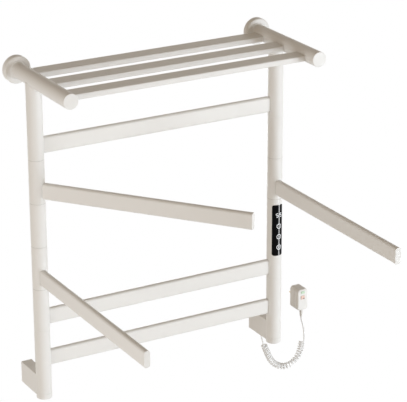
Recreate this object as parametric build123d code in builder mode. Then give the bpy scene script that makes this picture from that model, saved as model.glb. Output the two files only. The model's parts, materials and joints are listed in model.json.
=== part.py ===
from build123d import *
from math import cos, pi, radians, sin, sqrt, tan
import os

# Wall-mounted electric towel warmer rack: two segmented posts, fixed crossbars,
# three swivelling arms, a slatted shelf, a touch control and a curly mains cord.
# Frame: +X along the wall, +Y into the wall, +Z up. The origin is the centre of
# the four wall screws, on the wall plane.

# Overall layout
post_spacing = 680.0
screw_rise = 810.0
post_reach = 104.0
screw_hole_diameter = 6.0

# Posts, built from tube segments stacked on a core tube
post_diameter = 40.0
core_diameter = 30.0
core_wall = 2.0
first_rung_drop = 169.7
rung_pitch = 113.2
seam_below_rung = 32.5
segment_chamfer = 0.4
post_drop = 828.5
saddle_open = 6.0
foot_cap_height = 14.5
foot_cap_round = 3.5
foot_spigot = 10.0

# Fits
slip = 0.05
axial_play = 0.05
button_slip = 0.25

# Crossbars and swing arms share one rounded profile
bar_height = 42.0
bar_thickness = 16.5
bar_corner = 6.5
bar_wall = 1.8
crossbar_setback = 2.5
crossbar_bite = 1.5
crossbar_end_round = 6.0

# Swing arms
arm_reach = 567.0
arm_cap_thickness = 3.0
arm_cap_spigot = 8.0
arm_cap_edge = 1.0
root_block_length = 24.0
washer_thickness = 0.6
washer_inset = 0.4
upper_left_angle = 52.0
lower_left_angle = 90.0
right_angle = 90.0

# Shelf
shelf_arm_diameter = 39.0
shelf_arm_wall = 2.0
shelf_arm_length = 311.0
shelf_cap_thickness = 3.0
shelf_cap_spigot = 10.0
shelf_cap_edge = 1.2
slat_width = 46.0
slat_thickness = 15.0
slat_corner = 3.0
slat_wall = 1.6
slat_drop = 3.5
slat_pitch = 101.5
back_slat_reach = 50.0

# Wall fixings
flange_diameter = 70.0
flange_thickness = 17.0
flange_round = 4.0
flange_back_round = 1.5
seat_depth = 26.0
seat_base = 6.0
seat_wall = 5.0
bracket_width = 30.0
bracket_height = 57.5
bracket_drop = 1.25
bracket_wall = 3.0
bracket_corner = 2.0
plate_depth = 14.0
plate_corner = 1.5
grub_diameter = 4.0
grub_length = 6.0
arm_grub_reach = 20.0
bracket_grub_reach = 7.0

# Heating and control
heater_width = 28.0
heater_thickness = 4.0
heater_end_margin = 16.0
cable_diameter = 6.0
cable_end_margin = 12.0
fascia_width = 30.6
fascia_height = 142.5
fascia_corner = 5.0
fascia_thickness = 2.0
fascia_proud = 0.5
fascia_below_seam = 15.4
touch_board_thickness = 1.2
touch_board_gap = 0.2
touch_board_corner = 2.5
touch_board_margin = 6.0
power_board_height = 150.0
power_board_thickness = 1.6
power_board_offset = 5.0

# Mains cord and leakage-protection plug
cord_diameter = 4.2
bend_share = 0.45
gland_reach = 42.0
gland_neck_diameter = 9.0
gland_flange_diameter = 12.0
gland_flange_thickness = 2.0
gland_boot_length = 8.0
gland_grip_length = 9.0
gland_tip_diameter = 6.4
lead_lower_run = [(0, -42, -8), (0, -42, -17), (4.625, -42.222, -30.061)]
curl_run = [
    (4.625, -42.222, -30.061),
    (12.5, -42.6, -52.3),
    (29.2, -44.2, -93.6),
    (52.4, -45.4, -112.4),
    (75.6, -46.6, -119),
    (95.6, -47.7, -113.2),
    (112, -48.8, -97.7),
    (121.8, -49.7, -76),
    (125.1, -50.6, -50.6),
]
lead_upper_run = [
    (125.1, -50.6, -50.6),
    (127.146, -51.158, -34.852),
    (125.8, -52, -7),
    (120, -52.5, 10),
    (120, -52.5, 25),
]
curl_count = 32
curl_diameter = 16.5
curl_lead_in = 9.0
steps_per_turn = 2
points_per_turn = 24
heading_step = 0.001
plug_offset = 120.0
plug_width = 33.5
plug_height = 62.0
plug_depth = 38.0
plug_rise = 107.0
plug_back_reach = 22.0
plug_corner = 9.0
plug_front_round = 4.5
plug_cord_reach = 52.5
boot_length = 20.0
boot_root_diameter = 9.6
boot_tip_diameter = 6.4
pin_width = 6.4
pin_thickness = 1.6
pin_length = 19.0
pin_circle = 16.0
pin_splay = 30.0
pin_first_heading = 90.0
button_width = 11.0
button_length = 8.0
button_proud = 1.6
button_corner = 1.1
button_edge = 0.5
button_travel = 1.2
test_button_height = 6.5
reset_button_height = 10.0
test_button_drop = 9.0
reset_button_drop = 24.0

# Derived places
post_radius = post_diameter / 2
core_radius = core_diameter / 2
core_bore_radius = core_radius - core_wall
shelf_arm_radius = shelf_arm_diameter / 2
shelf_bore_radius = shelf_arm_radius - shelf_arm_wall
half_spacing = post_spacing / 2
shelf_z = screw_rise / 2
bracket_z = -screw_rise / 2
bracket_center_z = bracket_z - bracket_drop
bracket_bottom = bracket_center_z - bracket_height / 2
post_bottom_z = shelf_z - post_drop
rung_z = [shelf_z - first_rung_drop - k * rung_pitch for k in range(6)]
seam_z = [z - seam_below_rung for z in rung_z]
post_x = {"left": -half_spacing, "right": half_spacing}
curl_radius = (curl_diameter - cord_diameter) / 2
plug_center_x = half_spacing + plug_offset
plug_front_y = -plug_back_reach - plug_depth
plug_top = bracket_bottom + plug_rise
plug_bottom = plug_top - plug_height

os.makedirs("parts", exist_ok=True)


def save(builder, name):
    """Label a finished sub-part and write it as its own STEP file."""
    builder.part.label = name
    export_step(builder.part, f"parts/{name}.step")


def post_plane(side, z):
    """Horizontal plane at height z, centred on one post's axis."""
    return Plane(origin=(post_x[side], -post_reach, z))


def shelf_plane(side, reach):
    """Upright plane facing the room, centred on one shelf arm at a reach from the wall."""
    return Plane(origin=(post_x[side], -reach, shelf_z), x_dir=(1, 0, 0), z_dir=(0, -1, 0))


def tube_segment(side, low, high, bore_radius):
    """One length of post tube with lightly broken ends, as a builder."""
    with BuildPart() as segment:
        with BuildSketch(post_plane(side, low)):
            Circle(post_radius)
            Circle(bore_radius, mode=Mode.SUBTRACT)
        extrude(amount=high - low)
        outer_rims = segment.edges().filter_by(GeomType.CIRCLE).sort_by(SortBy.RADIUS)[-2:]
        chamfer(outer_rims, segment_chamfer)
    return segment


def inner_corner(corner, wall):
    """Corner radius inside a profile of even wall."""
    return max(corner - wall, wall / 4)


def profile_tube(plane, length, width, height, corner, wall):
    """Hollow rounded bar that starts on a plane and runs along its normal, as a builder."""
    with BuildPart() as bar:
        with BuildSketch(plane):
            RectangleRounded(width, height, corner)
            hollow = inner_corner(corner, wall)
            RectangleRounded(width - 2 * wall, height - 2 * wall, hollow, mode=Mode.SUBTRACT)
        extrude(amount=length)
    return bar


def bar_plug_outline():
    """Outline of a plug that slides into the hollow bar profile, drawn into the open sketch."""
    margin = 2 * (bar_wall + slip)
    RectangleRounded(bar_thickness - margin, bar_height - margin, inner_corner(bar_corner, bar_wall))


# Core tubes that carry each stack of post segments
core_top = shelf_z - shelf_arm_radius - slip
for side in post_x:
    with BuildPart() as core_tube:
        with BuildSketch(post_plane(side, post_bottom_z)):
            Circle(core_radius)
            Circle(core_bore_radius, mode=Mode.SUBTRACT)
        extrude(amount=core_top - post_bottom_z)
    save(core_tube, f"{side}_core_tube")

# Top segments, cut to saddle under the shelf arms
for side in post_x:
    with BuildPart() as post_top:
        with BuildSketch(post_plane(side, seam_z[0])):
            Circle(post_radius)
            Circle(core_radius + slip, mode=Mode.SUBTRACT)
        extrude(amount=shelf_z - saddle_open - seam_z[0])
        low_rims = post_top.edges().filter_by(GeomType.CIRCLE).group_by(Axis.Z)[0]
        chamfer(low_rims.sort_by(SortBy.RADIUS)[-1], segment_chamfer)
        with BuildSketch(shelf_plane(side, post_reach)):
            Circle(shelf_arm_radius + slip)
        extrude(amount=post_diameter, both=True, mode=Mode.SUBTRACT)
    save(post_top, f"{side}_post_top")

# Plain fixed segments
plain_segments = {
    "left_post_spacer": ("left", seam_z[2], seam_z[1]),
    "left_post_lower": ("left", seam_z[4], seam_z[3]),
    "left_post_bottom": ("left", post_bottom_z, seam_z[4]),
    "right_post_spacer": ("right", seam_z[1], seam_z[0]),
    "right_post_bottom": ("right", post_bottom_z, seam_z[4]),
}
for name, (side, low, high) in plain_segments.items():
    save(tube_segment(side, low, high, core_radius + slip), name)

# Curved control fascia and the touch board behind it, set into the right post
fascia_z = seam_z[2] - fascia_below_seam - fascia_height / 2
fascia_outer = post_radius + fascia_proud
fascia_inner = fascia_outer - fascia_thickness


def curved_panel(inner, outer, width, height, corner):
    """Slice of a tube wall with a rounded outline, on the front of the right post, as a builder."""
    with BuildPart() as panel:
        with BuildSketch(post_plane("right", fascia_z)):
            Circle(outer)
            Circle(inner, mode=Mode.SUBTRACT)
        extrude(amount=height / 2, both=True)
        front = Plane(origin=(half_spacing, -post_reach, fascia_z), x_dir=(1, 0, 0), z_dir=(0, -1, 0))
        with BuildSketch(front):
            RectangleRounded(width, height, corner)
        extrude(amount=post_diameter, mode=Mode.INTERSECT)
    return panel


control_fascia = curved_panel(fascia_inner, fascia_outer, fascia_width, fascia_height, fascia_corner)
save(control_fascia, "control_fascia")
board_outer = fascia_inner - touch_board_gap
board_inner = board_outer - touch_board_thickness
board_width = fascia_width - 2 * touch_board_margin
board_height = fascia_height - 2 * touch_board_margin
touch_board = curved_panel(board_inner, board_outer, board_width, board_height, touch_board_corner)
save(touch_board, "touch_board")
board_pocket = curved_panel(board_inner, fascia_inner, board_width, board_height, touch_board_corner)

control_segment = tube_segment("right", seam_z[4], seam_z[2], core_radius + slip)
with BuildPart() as right_post_control:
    add(control_segment.part)
    add(control_fascia.part, mode=Mode.SUBTRACT)
    add(board_pocket.part, mode=Mode.SUBTRACT)
save(right_post_control, "right_post_control")

# Power board, a strip that slides down inside the right core tube
power_board_edge = power_board_offset + power_board_thickness
power_board_width = 2 * (sqrt(core_bore_radius**2 - power_board_edge**2) - slip)
with BuildPart() as power_board:
    with BuildSketch(post_plane("right", fascia_z)):
        with Locations((0, -power_board_offset - power_board_thickness / 2)):
            Rectangle(power_board_width, power_board_thickness)
    extrude(amount=power_board_height / 2, both=True)
save(power_board, "power_board")

# Foot caps with a spigot in the core bore
for side in post_x:
    with BuildPart() as foot_cap:
        with BuildSketch(post_plane(side, post_bottom_z)):
            Circle(post_radius)
        extrude(amount=-foot_cap_height)
        fillet(foot_cap.edges().group_by(Axis.Z)[0], foot_cap_round)
        with BuildSketch(post_plane(side, post_bottom_z)):
            Circle(core_bore_radius - slip)
        extrude(amount=foot_spigot)
    save(foot_cap, f"{side}_foot_cap")

# Swing arms: a post segment that turns on the core tube and carries a cantilevered bar
swing_arms = {
    "upper_left": ("left", 1, upper_left_angle),
    "lower_left": ("left", 3, lower_left_angle),
    "right": ("right", 2, right_angle),
}
collar_gap = washer_thickness + axial_play
for name, (side, rung, angle) in swing_arms.items():
    folded_way = 1 if side == "left" else -1
    outward = Vector(folded_way * cos(radians(angle)), -sin(radians(angle)), 0)
    axis_point = Vector(post_x[side], -post_reach, rung_z[rung])
    root_plane = Plane(origin=axis_point, x_dir=(-outward.Y, outward.X, 0), z_dir=outward)
    end_plane = root_plane.offset(arm_reach - arm_cap_thickness)

    collar_low = seam_z[rung] + collar_gap
    collar_high = seam_z[rung - 1] - collar_gap
    collar = tube_segment(side, collar_low, collar_high, core_radius + slip)
    save(collar, f"{name}_swivel_collar")

    blank = profile_tube(
        root_plane, arm_reach - arm_cap_thickness, bar_thickness, bar_height, bar_corner, bar_wall
    )
    with BuildPart() as arm_bar:
        add(blank.part)
        with BuildSketch(post_plane(side, rung_z[rung])):
            Circle(post_radius + slip)
        extrude(amount=bar_height, both=True, mode=Mode.SUBTRACT)
    save(arm_bar, f"{name}_arm_bar")

    with BuildPart() as root_block:
        with BuildSketch(root_plane):
            bar_plug_outline()
        extrude(amount=post_radius + root_block_length)
        with BuildSketch(post_plane(side, rung_z[rung])):
            Circle(post_radius + slip)
        extrude(amount=bar_height, both=True, mode=Mode.SUBTRACT)
    save(root_block, f"{name}_arm_root_block")

    with BuildPart() as end_cap:
        with BuildSketch(end_plane):
            RectangleRounded(bar_thickness, bar_height, bar_corner)
        extrude(amount=arm_cap_thickness)
        outer_face = end_cap.faces().sort_by_distance(axis_point)[-1]
        fillet(outer_face.edges(), arm_cap_edge)
        with BuildSketch(end_plane):
            bar_plug_outline()
        extrude(amount=-arm_cap_spigot)
    save(end_cap, f"{name}_arm_end_cap")

    with BuildPart() as thrust_washers:
        for low in (seam_z[rung], seam_z[rung - 1] - washer_thickness):
            with BuildSketch(post_plane(side, low)):
                Circle(post_radius - washer_inset)
                Circle(core_radius + slip, mode=Mode.SUBTRACT)
            extrude(amount=washer_thickness)
    save(thrust_washers, f"{name}_thrust_washers")

# Crossbars between the posts, with rounded ends coped to the round post sides
crossbar_y = -post_reach + crossbar_setback
crossbar_outline = post_spacing - 2 * (post_radius - crossbar_bite)
crossbars = {"crossbar_top": 0, "crossbar_lower": 4, "crossbar_bottom": 5}
for name, rung in crossbars.items():
    left_end = Plane(origin=(-half_spacing, crossbar_y, rung_z[rung]), x_dir=(0, 1, 0), z_dir=(1, 0, 0))
    blank = profile_tube(left_end, post_spacing, bar_thickness, bar_height, bar_corner, bar_wall)
    with BuildPart() as crossbar:
        add(blank.part)
        front = Plane(origin=(0, crossbar_y, rung_z[rung]), x_dir=(1, 0, 0), z_dir=(0, -1, 0))
        with BuildSketch(front):
            RectangleRounded(crossbar_outline, bar_height, crossbar_end_round)
        extrude(amount=bar_thickness, both=True, mode=Mode.INTERSECT)
        for side in post_x:
            with BuildSketch(post_plane(side, rung_z[rung])):
                Circle(post_radius + slip)
            extrude(amount=bar_height, both=True, mode=Mode.SUBTRACT)
    save(crossbar, name)

# Flat heating elements that lie on the back wall inside each crossbar
heater_length = post_spacing - 2 * (post_radius + heater_end_margin)
heater_y = crossbar_y + bar_thickness / 2 - bar_wall - heater_thickness / 2
with BuildPart() as crossbar_heaters:
    for rung in crossbars.values():
        with BuildSketch(Plane(origin=(0, heater_y, rung_z[rung]), x_dir=(0, 1, 0), z_dir=(1, 0, 0))):
            Rectangle(heater_thickness, heater_width)
        extrude(amount=heater_length / 2, both=True)
save(crossbar_heaters, "crossbar_heaters")

# Heating cables down the back of each core bore
cable_offset = core_bore_radius - cable_diameter / 2 - slip
with BuildPart() as post_heating_cables:
    for side in post_x:
        with BuildSketch(post_plane(side, post_bottom_z + foot_spigot + cable_end_margin)):
            with Locations((0, cable_offset)):
                Circle(cable_diameter / 2)
        extrude(amount=core_top - post_bottom_z - foot_spigot - 2 * cable_end_margin)
save(post_heating_cables, "post_heating_cables")

# Shelf arms, their wall seats, flanges and end caps
for side in post_x:
    with BuildPart() as wall_seat:
        with BuildSketch(shelf_plane(side, 0)):
            Circle(shelf_bore_radius - slip)
            Circle(screw_hole_diameter / 2, mode=Mode.SUBTRACT)
        extrude(amount=seat_depth)
        with BuildSketch(shelf_plane(side, seat_base)):
            Circle(shelf_bore_radius - slip - seat_wall)
        extrude(amount=seat_depth - seat_base, mode=Mode.SUBTRACT)
        with BuildSketch(Plane(origin=(post_x[side], -arm_grub_reach, shelf_z))):
            Circle(grub_diameter / 2 + slip)
        extrude(amount=-shelf_arm_radius, mode=Mode.SUBTRACT)
    save(wall_seat, f"{side}_wall_seat")

    with BuildPart() as shelf_arm:
        with BuildSketch(shelf_plane(side, 0)):
            Circle(shelf_arm_radius)
            Circle(shelf_bore_radius, mode=Mode.SUBTRACT)
        extrude(amount=shelf_arm_length - shelf_cap_thickness)
        with BuildSketch(Plane(origin=(post_x[side], -arm_grub_reach, shelf_z))):
            Circle(grub_diameter / 2 + slip)
        extrude(amount=-shelf_arm_radius, mode=Mode.SUBTRACT)
    save(shelf_arm, f"{side}_shelf_arm")

    with BuildPart() as wall_flange:
        with BuildSketch(shelf_plane(side, 0)):
            Circle(flange_diameter / 2)
        extrude(amount=flange_thickness)
        fillet(wall_flange.edges().group_by(Axis.Y)[0], flange_round)
        fillet(wall_flange.edges().group_by(Axis.Y)[-1], flange_back_round)
        with BuildSketch(shelf_plane(side, 0)):
            Circle(shelf_arm_radius + slip)
        extrude(amount=flange_thickness, mode=Mode.SUBTRACT)
    save(wall_flange, f"{side}_wall_flange")

    with BuildPart() as shelf_cap:
        with BuildSketch(shelf_plane(side, shelf_arm_length - shelf_cap_thickness)):
            Circle(shelf_arm_radius)
        extrude(amount=shelf_cap_thickness)
        fillet(shelf_cap.edges().group_by(Axis.Y)[0], shelf_cap_edge)
        with BuildSketch(shelf_plane(side, shelf_arm_length - shelf_cap_thickness)):
            Circle(shelf_bore_radius - slip)
        extrude(amount=-shelf_cap_spigot)
    save(shelf_cap, f"{side}_shelf_arm_cap")

# Shelf slats, coped to the round arms
for index, name in enumerate(("back", "middle", "front")):
    slat_reach = back_slat_reach + index * slat_pitch
    slat_start = (-half_spacing, -slat_reach, shelf_z - slat_drop)
    slat_end = Plane(origin=slat_start, x_dir=(0, 1, 0), z_dir=(1, 0, 0))
    blank = profile_tube(slat_end, post_spacing, slat_width, slat_thickness, slat_corner, slat_wall)
    with BuildPart() as shelf_slat:
        add(blank.part)
        for side in post_x:
            with BuildSketch(shelf_plane(side, slat_reach)):
                Circle(shelf_arm_radius + slip)
            extrude(amount=slat_width, both=True, mode=Mode.SUBTRACT)
    save(shelf_slat, f"shelf_slat_{name}")

# Lower brackets from the wall to the back of each post, with a wall plate inside
for side in post_x:
    wall_plane = Plane(origin=(post_x[side], 0, bracket_center_z), x_dir=(1, 0, 0), z_dir=(0, -1, 0))
    blank = profile_tube(
        wall_plane, post_reach, bracket_width, bracket_height, bracket_corner, bracket_wall
    )
    with BuildPart() as lower_bracket:
        add(blank.part)
        with BuildSketch(post_plane(side, bracket_center_z)):
            Circle(post_radius + slip)
        extrude(amount=bracket_height, both=True, mode=Mode.SUBTRACT)
        with BuildSketch(Plane(origin=(post_x[side], -bracket_grub_reach, bracket_bottom))):
            Circle(grub_diameter / 2 + slip)
        extrude(amount=bracket_wall, mode=Mode.SUBTRACT)
        if side == "right":
            with BuildSketch(Plane(origin=(post_x[side], -gland_reach, bracket_bottom))):
                Circle(gland_neck_diameter / 2 + slip)
            extrude(amount=bracket_wall, mode=Mode.SUBTRACT)
    save(lower_bracket, f"{side}_lower_bracket")

    with BuildPart() as wall_plate:
        with BuildSketch(wall_plane):
            plate_margin = 2 * (bracket_wall + slip)
            RectangleRounded(bracket_width - plate_margin, bracket_height - plate_margin, plate_corner)
            with Locations((0, bracket_drop)):
                Circle(screw_hole_diameter / 2, mode=Mode.SUBTRACT)
        extrude(amount=plate_depth)
        with BuildSketch(Plane(origin=(post_x[side], -bracket_grub_reach, bracket_bottom))):
            Circle(grub_diameter / 2 + slip)
        extrude(amount=grub_length + 2 * slip, mode=Mode.SUBTRACT)
    save(wall_plate, f"{side}_bracket_wall_plate")

# Grub screws that lock the shelf arms to their seats and the brackets to their plates
with BuildPart() as grub_screws:
    grub_places = ((arm_grub_reach, shelf_z - shelf_arm_radius), (bracket_grub_reach, bracket_bottom))
    for side in post_x:
        for reach, low in grub_places:
            with BuildSketch(Plane(origin=(post_x[side], -reach, low + slip))):
                Circle(grub_diameter / 2)
            extrude(amount=grub_length)
save(grub_screws, "grub_screws")

# Cord gland through the underside of the right bracket
bracket_inside = bracket_bottom + bracket_wall
gland_tip_z = bracket_bottom - gland_boot_length
with BuildPart() as cord_gland:
    with BuildSketch(Plane(origin=(half_spacing, -gland_reach, 0), x_dir=(1, 0, 0), z_dir=(0, -1, 0))):
        with BuildLine():
            Polyline(
                (0, gland_tip_z),
                (gland_tip_diameter / 2, gland_tip_z),
                (gland_flange_diameter / 2, bracket_bottom - gland_flange_thickness),
                (gland_flange_diameter / 2, bracket_bottom),
                (gland_neck_diameter / 2, bracket_bottom),
                (gland_neck_diameter / 2, bracket_inside),
                (gland_flange_diameter / 2, bracket_inside),
                (gland_flange_diameter / 2, bracket_inside + gland_flange_thickness),
                (gland_tip_diameter / 2, bracket_inside + gland_grip_length),
                (0, bracket_inside + gland_grip_length),
                close=True,
            )
        make_face()
    revolve(axis=Axis((half_spacing, -gland_reach, 0), (0, 0, 1)))
save(cord_gland, "cord_gland")


def placed(run):
    """Cord route in the shared frame: a run taken from the right post and the bracket's underside."""
    return [(half_spacing + x, y, bracket_bottom + z) for x, y, z in run]


def corner_radii(route):
    """Tangent radius at each inner point, from a share of the shorter run and the turn there."""
    points = [Vector(*p) for p in route]
    radii = []
    for before, at, after in zip(points, points[1:], points[2:]):
        turn = (at - before).get_angle(after - at)
        shorter = min((at - before).length, (after - at).length)
        radii.append(bend_share * shorter / tan(radians(turn) / 2))
    return radii


def cord_tube(name, route):
    """Round lead along straight runs and tangent arcs."""
    radii = corner_radii(route)
    with BuildPart() as lead:
        with BuildLine() as path:
            FilletPolyline(*route, radius=radii)
        with BuildSketch(Plane(origin=route[0], z_dir=Vector(*route[1]) - Vector(*route[0]))):
            Circle(cord_diameter / 2)
        sweep()
    length = path.wire().length
    print(name, "radii", [round(r, 1) for r in radii], "length", round(length, 1))
    print(name, "volume ratio", round(lead.part.volume / (pi * cord_diameter**2 / 4 * length), 4))
    save(lead, name)


cord_tube("cord_lead_lower", placed(lead_lower_run))
cord_tube("cord_lead_upper", placed(lead_upper_run))

# Curly part of the cord: a helix about the sagging route, fading to straight ends
curl_route = placed(curl_run)
with BuildLine() as curl_line:
    FilletPolyline(*curl_route, radius=corner_radii(curl_route))
curl_axis = curl_line.wire()
coil_length = curl_axis.length - 2 * cord_diameter
curl_pitch = (coil_length - curl_lead_in) / curl_count
lead_in_turns = curl_lead_in / curl_pitch / 2


def coil_distance(turns):
    """Distance along the coil's axis after a number of turns: the pitch opens out towards both ends."""
    if turns < lead_in_turns:
        return sqrt(2 * curl_lead_in * curl_pitch * turns)
    if turns > curl_count - lead_in_turns:
        return coil_length - sqrt(2 * curl_lead_in * curl_pitch * (curl_count - turns))
    return curl_lead_in + curl_pitch * (turns - lead_in_turns)


def curl_point(turns):
    """Centre of the wire after a number of turns: the curls grow and fade at the straight ends."""
    along = coil_distance(turns)
    place = curl_axis.position_at(cord_diameter + along, position_mode=PositionMode.LENGTH)
    heading = curl_axis.tangent_at(cord_diameter + along, position_mode=PositionMode.LENGTH)
    depth = Vector(0, 1, 0)
    inward = heading.cross(depth)
    fade = min(1.0, along / curl_lead_in, (coil_length - along) / curl_lead_in)
    swing = curl_radius * fade * fade * (3 - 2 * fade)
    return place + inward * (swing * cos(2 * pi * turns)) + depth * (swing * sin(2 * pi * turns))


def curl_heading(turns):
    """Unit direction of the wire after a number of turns, along the axis at both ends."""
    if turns in (0, curl_count):
        return curl_axis.tangent_at(turns / curl_count)
    ahead = curl_point(turns + heading_step)
    return (ahead - curl_point(turns - heading_step)).normalized()


def biarc(start, start_way, end, end_way):
    """Joint of the two tangent arcs between two places, and the heading at that joint."""
    span = end - start
    square = 2 * (1 - start_way.dot(end_way))
    linear = 2 * span.dot(start_way + end_way)
    reach = (-linear + sqrt(linear**2 + 4 * square * span.dot(span))) / (2 * square)
    first_pole = start + start_way * reach
    last_pole = end - end_way * reach
    return (first_pole + last_pole) / 2, (last_pole - first_pole).normalized()


stations = [k / steps_per_turn for k in range(curl_count * steps_per_turn + 1)]
curl_start = curl_axis @ 0
curl_end = curl_axis @ 1
with BuildPart() as cord_curls:
    with BuildLine() as curl_path:
        Line(curl_start, curl_point(0))
        for here, there in zip(stations, stations[1:]):
            start, end = curl_point(here), curl_point(there)
            joint, joint_way = biarc(start, curl_heading(here), end, curl_heading(there))
            TangentArc(start, joint, tangent=curl_heading(here))
            TangentArc(joint, end, tangent=joint_way)
        Line(curl_point(curl_count), curl_end)
    with BuildSketch(Plane(origin=curl_start, z_dir=curl_point(0) - curl_start)):
        Circle(cord_diameter / 2)
    sweep()
arc_radii = [edge.radius for edge in curl_path.edges().filter_by(GeomType.CIRCLE)]
wire_points = [curl_point(k / points_per_turn) for k in range(curl_count * points_per_turn + 1)]
apart = min(
    (a - b).length
    for i, a in enumerate(wire_points)
    for b in wire_points[i + points_per_turn * 3 // 4 : i + points_per_turn * 2]
)
wire_length = curl_path.wire().length
print("curls wire length", round(wire_length, 1), "least arc radius", round(min(arc_radii), 2))
print("curls least gap to itself", round(apart - cord_diameter, 2))
print("curls volume ratio", round(cord_curls.part.volume / (pi * cord_diameter**2 / 4 * wire_length), 4))
save(cord_curls, "cord_curls")

# Leakage-protection plug: moulded body with pockets for two buttons
plug_center_z = plug_top - plug_height / 2
buttons = {
    "plug_test_button": (plug_top - test_button_drop, test_button_height),
    "plug_reset_button": (plug_top - reset_button_drop, reset_button_height),
}


def plug_plane(reach, z):
    """Upright plane facing the room, centred on the plug's width."""
    return Plane(origin=(plug_center_x, -reach, z), x_dir=(1, 0, 0), z_dir=(0, -1, 0))


with BuildPart() as plug_body:
    with BuildSketch(plug_plane(plug_back_reach, plug_center_z)):
        RectangleRounded(plug_width, plug_height, plug_corner)
    extrude(amount=plug_depth)
    fillet(plug_body.faces().sort_by(Axis.Y)[0].edges(), plug_front_round)
    pocket_depth = button_length - button_proud + button_travel + button_slip
    for center_z, height in buttons.values():
        with BuildSketch(plug_plane(-plug_front_y - pocket_depth, center_z)):
            Rectangle(button_width + 2 * button_slip, height + 2 * button_slip)
        extrude(amount=pocket_depth, mode=Mode.SUBTRACT)
save(plug_body, "plug_body")

for name, (center_z, height) in buttons.items():
    with BuildPart() as button:
        with BuildSketch(plug_plane(-plug_front_y - button_length + button_proud, center_z)):
            RectangleRounded(button_width, height, button_corner)
        extrude(amount=button_length)
        fillet(button.faces().sort_by(Axis.Y)[0].edges(), button_edge)
    save(button, name)

# Three flat contact pins on the back of the plug
with BuildPart() as plug_pins:
    for turn, tilt in ((2 * pin_splay, pin_splay), (-2 * pin_splay, -pin_splay), (6 * pin_splay, 0)):
        with BuildSketch(plug_plane(plug_back_reach, plug_center_z)):
            with PolarLocations(pin_circle / 2, 1, start_angle=pin_first_heading + turn, rotate=False):
                Rectangle(pin_thickness, pin_width, rotation=tilt)
        extrude(amount=-pin_length)
save(plug_pins, "plug_pins")

# Moulded boot between the plug and the cord
boot_tip_z = plug_bottom - boot_length
with BuildPart() as plug_strain_relief:
    with BuildSketch(Plane(origin=(plug_center_x, -plug_cord_reach, plug_bottom))):
        Circle(boot_root_diameter / 2)
    with BuildSketch(Plane(origin=(plug_center_x, -plug_cord_reach, boot_tip_z))):
        Circle(boot_tip_diameter / 2)
    loft()
save(plug_strain_relief, "plug_strain_relief")
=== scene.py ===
import json
import logging
import math
from dataclasses import dataclass
from enum import Enum
from typing import Iterable, Sequence

import bmesh
import bpy
from bmesh.types import BMesh
from bpy.types import ID, Material, Mesh, Node, NodeSocket, NodeTree, Object
from mathutils import Matrix, Vector

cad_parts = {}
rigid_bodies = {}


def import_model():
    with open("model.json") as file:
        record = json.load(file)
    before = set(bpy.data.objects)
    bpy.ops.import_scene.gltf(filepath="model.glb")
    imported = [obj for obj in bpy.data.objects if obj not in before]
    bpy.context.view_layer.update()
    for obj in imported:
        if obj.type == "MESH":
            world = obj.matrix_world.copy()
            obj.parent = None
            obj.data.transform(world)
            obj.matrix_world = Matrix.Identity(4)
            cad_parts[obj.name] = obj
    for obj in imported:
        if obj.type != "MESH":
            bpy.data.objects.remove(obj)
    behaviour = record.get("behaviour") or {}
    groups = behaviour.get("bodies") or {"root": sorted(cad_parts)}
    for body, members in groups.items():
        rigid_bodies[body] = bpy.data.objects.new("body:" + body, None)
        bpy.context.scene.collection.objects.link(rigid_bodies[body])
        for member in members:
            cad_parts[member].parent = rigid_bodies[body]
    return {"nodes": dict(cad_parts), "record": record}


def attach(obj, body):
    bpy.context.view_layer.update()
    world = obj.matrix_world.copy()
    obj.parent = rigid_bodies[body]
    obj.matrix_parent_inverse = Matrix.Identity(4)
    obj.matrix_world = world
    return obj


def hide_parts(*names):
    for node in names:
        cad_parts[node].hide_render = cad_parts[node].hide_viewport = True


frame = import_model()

logging.basicConfig(level=logging.INFO, format="%(message)s")
LOG = logging.getLogger("towel_rack")

Colour = tuple[float, float, float]
Point = tuple[float, float, float]
Flat = tuple[float, float]

MM = 0.001
FRAME_BODY = "frame"
WHITE: Colour = (1.0, 1.0, 1.0)
UPRIGHT: Point = (math.radians(90), 0.0, 0.0)
MIX_COLOUR_INPUTS = (0, 6, 7)
MIX_COLOUR_RESULT = 2
SPLINE_ORDER = 3
RIB_SIDES = 36
BAR_SIDES = 10
CORNER_STEPS = 10
HEX_SIDES = 6
RING_SIDES = 48
RING_FLATNESS = 0.06
LIT_FIVE = "afgcd"
SEGMENT_SHARES = (0.0, 0.14, 0.32, 0.5, 0.68, 0.86, 1.0)
WAVE_STEPS = 12
WAVE_HEIGHT = 4.0 * MM
WAVE_LENGTH = 3.4 * MM
WAVE_SWING = 0.45 * MM


def add_object(name: str, data: ID) -> Object:
    """Put new data into the scene as an object.

    Args:
        name: The object's name.
        data: Its mesh, curve, light or camera.

    Returns:
        The new object.
    """
    owner = bpy.data.objects.new(name, data)
    bpy.context.scene.collection.objects.link(owner)
    return owner


def bake(owner: Object) -> Mesh:
    """Work out an object's modifiers or curve and drop the object.

    Args:
        owner: The object, removed here with its data.

    Returns:
        What it makes, as a plain mesh.
    """
    bpy.context.view_layer.update()
    mesh = bpy.data.meshes.new_from_object(owner.evaluated_get(bpy.context.evaluated_depsgraph_get()))
    bpy.data.batch_remove((owner, owner.data))
    return mesh


def rgba(colour: Colour) -> tuple[float, float, float, float]:
    """Opaque colour of four numbers."""
    return (*colour, 1.0)


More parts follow.
